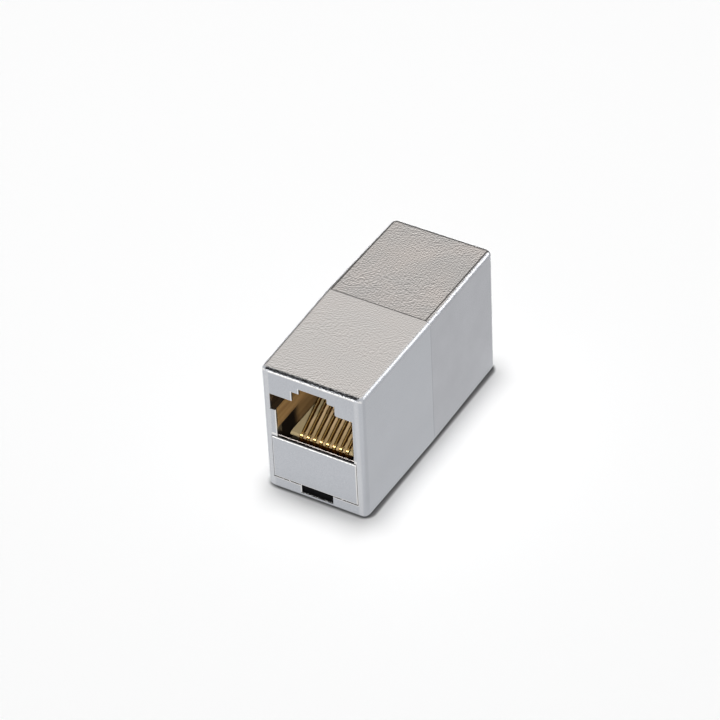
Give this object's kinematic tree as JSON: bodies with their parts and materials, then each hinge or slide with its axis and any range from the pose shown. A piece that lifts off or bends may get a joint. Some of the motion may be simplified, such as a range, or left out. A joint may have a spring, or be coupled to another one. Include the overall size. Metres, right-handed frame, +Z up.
{
  "type": "rj45 inline coupler",
  "caption": "Shielded inline coupler that joins two network cables, with a keyed socket in each end face of a satin plated housing.",
  "frame": {"origin": "middle of the base, halfway between the two end faces", "axes": "+Y from the front socket to the rear socket, +Z up with the latch side of both sockets on top, +X to the right seen from the front socket"},
  "size_m": [0.016, 0.0358, 0.0211],
  "materials": {
    "fine_grain_plating": "satin nickel plating over moulded plastic, fine grain",
    "coarse_grain_plating": "satin nickel plating over moulded plastic, coarse grain on top",
    "contact_block_plastic": "moulded beige polyester",
    "board_laminate": "solder resist over glass laminate",
    "solder": "bright tin solder",
    "black_plastic": "moulded black plastic",
    "gold_plating": "gold plating over phosphor bronze"
  },
  "bodies": {
    "root": {"front_shell": "fine_grain_plating", "rear_shell": "coarse_grain_plating", "front_port_panel": "fine_grain_plating", "rear_port_panel": "coarse_grain_plating", "front_contact_block": "contact_block_plastic", "rear_contact_block": "contact_block_plastic", "circuit_board": "board_laminate", "solder_joints": "solder", "locking_bar": "black_plastic", "front_contact_1": "gold_plating", "front_contact_2": "gold_plating", "front_contact_3": "gold_plating", "front_contact_4": "gold_plating", "front_contact_5": "gold_plating", "front_contact_6": "gold_plating", "front_contact_7": "gold_plating", "front_contact_8": "gold_plating", "rear_contact_1": "gold_plating", "rear_contact_2": "gold_plating", "rear_contact_3": "gold_plating", "rear_contact_4": "gold_plating", "rear_contact_5": "gold_plating", "rear_contact_6": "gold_plating", "rear_contact_7": "gold_plating", "rear_contact_8": "gold_plating"}
  },
  "joints": []
}
